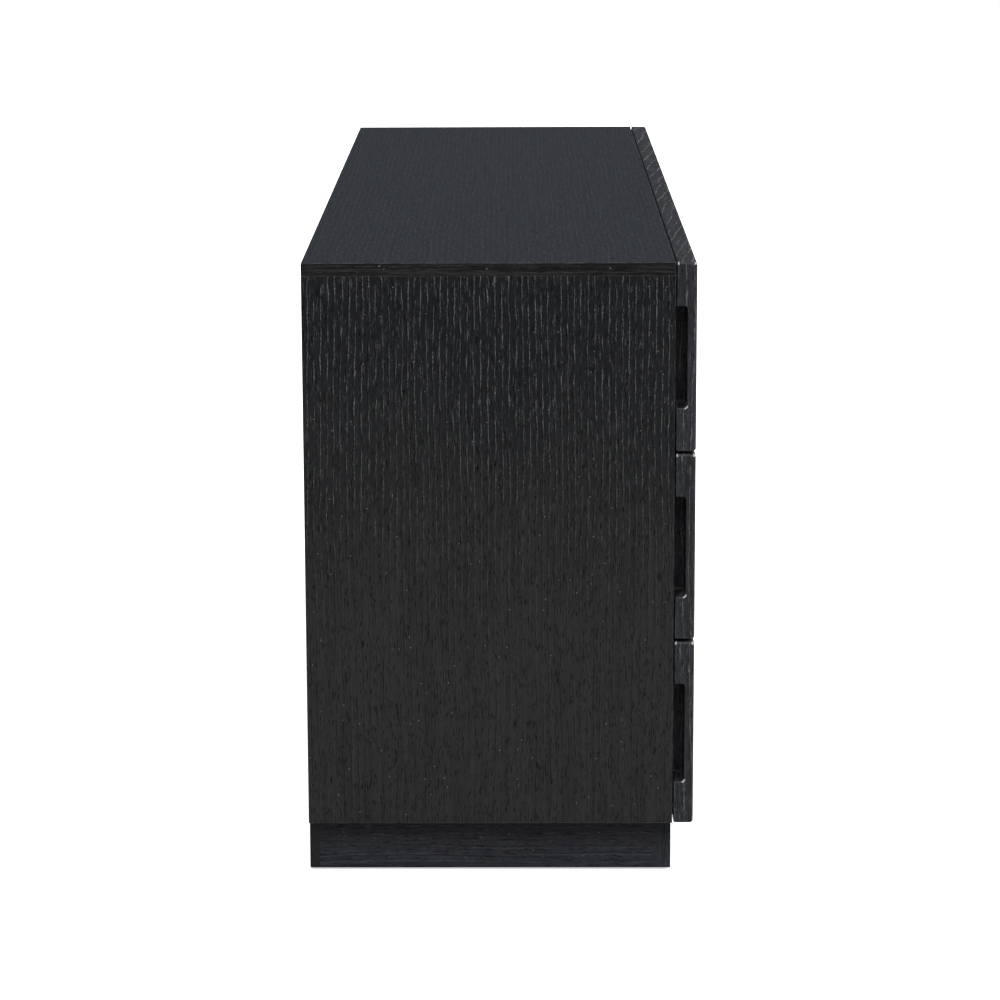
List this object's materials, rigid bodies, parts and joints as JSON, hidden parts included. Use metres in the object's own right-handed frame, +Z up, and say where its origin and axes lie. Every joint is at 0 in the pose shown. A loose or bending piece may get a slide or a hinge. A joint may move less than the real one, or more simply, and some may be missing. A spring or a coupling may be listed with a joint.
{
  "type": "dresser with drawers",
  "caption": "Long low dresser in black-stained ash with overlay drawer fronts, finger pulls milled into their outer ends, ball-bearing runners and an inset plinth.",
  "frame": {"origin": "on the floor, under the centre of the dresser's box", "axes": "+X along the length, -Y is the way the drawers open, +Z up"},
  "size_m": [1.524, 0.4716, 0.762],
  "materials": {
    "black_ash_veneer": "black-stained open-pore ash veneer, satin",
    "black_ash_solid": "black-stained solid ash, satin",
    "black_case_board": "black-faced board, matt",
    "black_back_panel": "thin black-faced panel, matt",
    "plain_softwood": "planed, unfinished",
    "drawer_box_wood": "clear lacquered",
    "drawer_bottom_ply": "clear lacquered plywood",
    "beech_dowel": "fluted, unfinished",
    "glide_plastic": "moulded",
    "bumper_rubber": "soft, matt",
    "runner_steel": "zinc plated, rolled",
    "plated_steel": "zinc plated",
    "black_steel": "black oxide",
    "cast_zinc": "die cast"
  },
  "bodies": {
    "case": {"top_panel": "black_ash_veneer", "side_panel_left": "black_ash_veneer", "side_panel_right": "black_ash_veneer", "centre_divider": "black_case_board", "bottom_panel": "black_case_board", "top_rail_front": "black_case_board", "top_rail_rear": "black_case_board", "drawer_rails": "black_case_board", "back_panel_left": "black_back_panel", "back_panel_right": "black_back_panel", "plinth_front": "black_ash_veneer", "plinth_rear": "black_case_board", "plinth_left": "black_ash_veneer", "plinth_right": "black_ash_veneer", "plinth_brace": "plain_softwood", "glue_blocks": "plain_softwood", "floor_glides": "glide_plastic", "dowels": "beech_dowel", "cam_locks": "cast_zinc", "cam_bolts": "plated_steel", "back_screws": "black_steel", "anti_tip_plates": "plated_steel", "bumpers": "bumper_rubber", "runner_case_members": "runner_steel"},
    "drawer_left_bottom": {"left_bottom_front": "black_ash_solid", "left_bottom_box_sides": "drawer_box_wood", "left_bottom_box_ends": "drawer_box_wood", "left_bottom_box_bottom": "drawer_bottom_ply", "left_bottom_runner_inner": "runner_steel"},
    "runner_left_bottom": {"left_bottom_runner_middle": "runner_steel"},
    "drawer_left_middle": {"left_middle_front": "black_ash_solid", "left_middle_box_sides": "drawer_box_wood", "left_middle_box_ends": "drawer_box_wood", "left_middle_box_bottom": "drawer_bottom_ply", "left_middle_runner_inner": "runner_steel"},
    "runner_left_middle": {"left_middle_runner_middle": "runner_steel"},
    "drawer_left_top": {"left_top_front": "black_ash_solid", "left_top_box_sides": "drawer_box_wood", "left_top_box_ends": "drawer_box_wood", "left_top_box_bottom": "drawer_bottom_ply", "left_top_runner_inner": "runner_steel"},
    "runner_left_top": {"left_top_runner_middle": "runner_steel"},
    "drawer_right_bottom": {"right_bottom_front": "black_ash_solid", "right_bottom_box_sides": "drawer_box_wood", "right_bottom_box_ends": "drawer_box_wood", "right_bottom_box_bottom": "drawer_bottom_ply", "right_bottom_runner_inner": "runner_steel"},
    "runner_right_bottom": {"right_bottom_runner_middle": "runner_steel"},
    "drawer_right_middle": {"right_middle_front": "black_ash_solid", "right_middle_box_sides": "drawer_box_wood", "right_middle_box_ends": "drawer_box_wood", "right_middle_box_bottom": "drawer_bottom_ply", "right_middle_runner_inner": "runner_steel"},
    "runner_right_middle": {"right_middle_runner_middle": "runner_steel"},
    "drawer_right_top": {"right_top_front": "black_ash_solid", "right_top_box_sides": "drawer_box_wood", "right_top_box_ends": "drawer_box_wood", "right_top_box_bottom": "drawer_bottom_ply", "right_top_runner_inner": "runner_steel"},
    "runner_right_top": {"right_top_runner_middle": "runner_steel"}
  },
  "joints": [
    {"name": "drawer_left_bottom_slide", "type": "slide", "parent": "case", "child": "drawer_left_bottom", "axis": [0, -1, 0], "range_m": [0, 0.4]},
    {"name": "runner_left_bottom_slide", "type": "slide", "parent": "case", "child": "runner_left_bottom", "axis": [0, -1, 0], "range_m": [0, 0.2]},
    {"name": "drawer_left_middle_slide", "type": "slide", "parent": "case", "child": "drawer_left_middle", "axis": [0, -1, 0], "range_m": [0, 0.4]},
    {"name": "runner_left_middle_slide", "type": "slide", "parent": "case", "child": "runner_left_middle", "axis": [0, -1, 0], "range_m": [0, 0.2]},
    {"name": "drawer_left_top_slide", "type": "slide", "parent": "case", "child": "drawer_left_top", "axis": [0, -1, 0], "range_m": [0, 0.4]},
    {"name": "runner_left_top_slide", "type": "slide", "parent": "case", "child": "runner_left_top", "axis": [0, -1, 0], "range_m": [0, 0.2]},
    {"name": "drawer_right_bottom_slide", "type": "slide", "parent": "case", "child": "drawer_right_bottom", "axis": [0, -1, 0], "range_m": [0, 0.4]},
    {"name": "runner_right_bottom_slide", "type": "slide", "parent": "case", "child": "runner_right_bottom", "axis": [0, -1, 0], "range_m": [0, 0.2]},
    {"name": "drawer_right_middle_slide", "type": "slide", "parent": "case", "child": "drawer_right_middle", "axis": [0, -1, 0], "range_m": [0, 0.4]},
    {"name": "runner_right_middle_slide", "type": "slide", "parent": "case", "child": "runner_right_middle", "axis": [0, -1, 0], "range_m": [0, 0.2]},
    {"name": "drawer_right_top_slide", "type": "slide", "parent": "case", "child": "drawer_right_top", "axis": [0, -1, 0], "range_m": [0, 0.4]},
    {"name": "runner_right_top_slide", "type": "slide", "parent": "case", "child": "runner_right_top", "axis": [0, -1, 0], "range_m": [0, 0.2]}
  ],
  "couplings": [
    {"joint": "runner_left_bottom_slide", "follows": "drawer_left_bottom_slide", "ratio": 0.5},
    {"joint": "runner_left_middle_slide", "follows": "drawer_left_middle_slide", "ratio": 0.5},
    {"joint": "runner_left_top_slide", "follows": "drawer_left_top_slide", "ratio": 0.5},
    {"joint": "runner_right_bottom_slide", "follows": "drawer_right_bottom_slide", "ratio": 0.5},
    {"joint": "runner_right_middle_slide", "follows": "drawer_right_middle_slide", "ratio": 0.5},
    {"joint": "runner_right_top_slide", "follows": "drawer_right_top_slide", "ratio": 0.5}
  ]
}
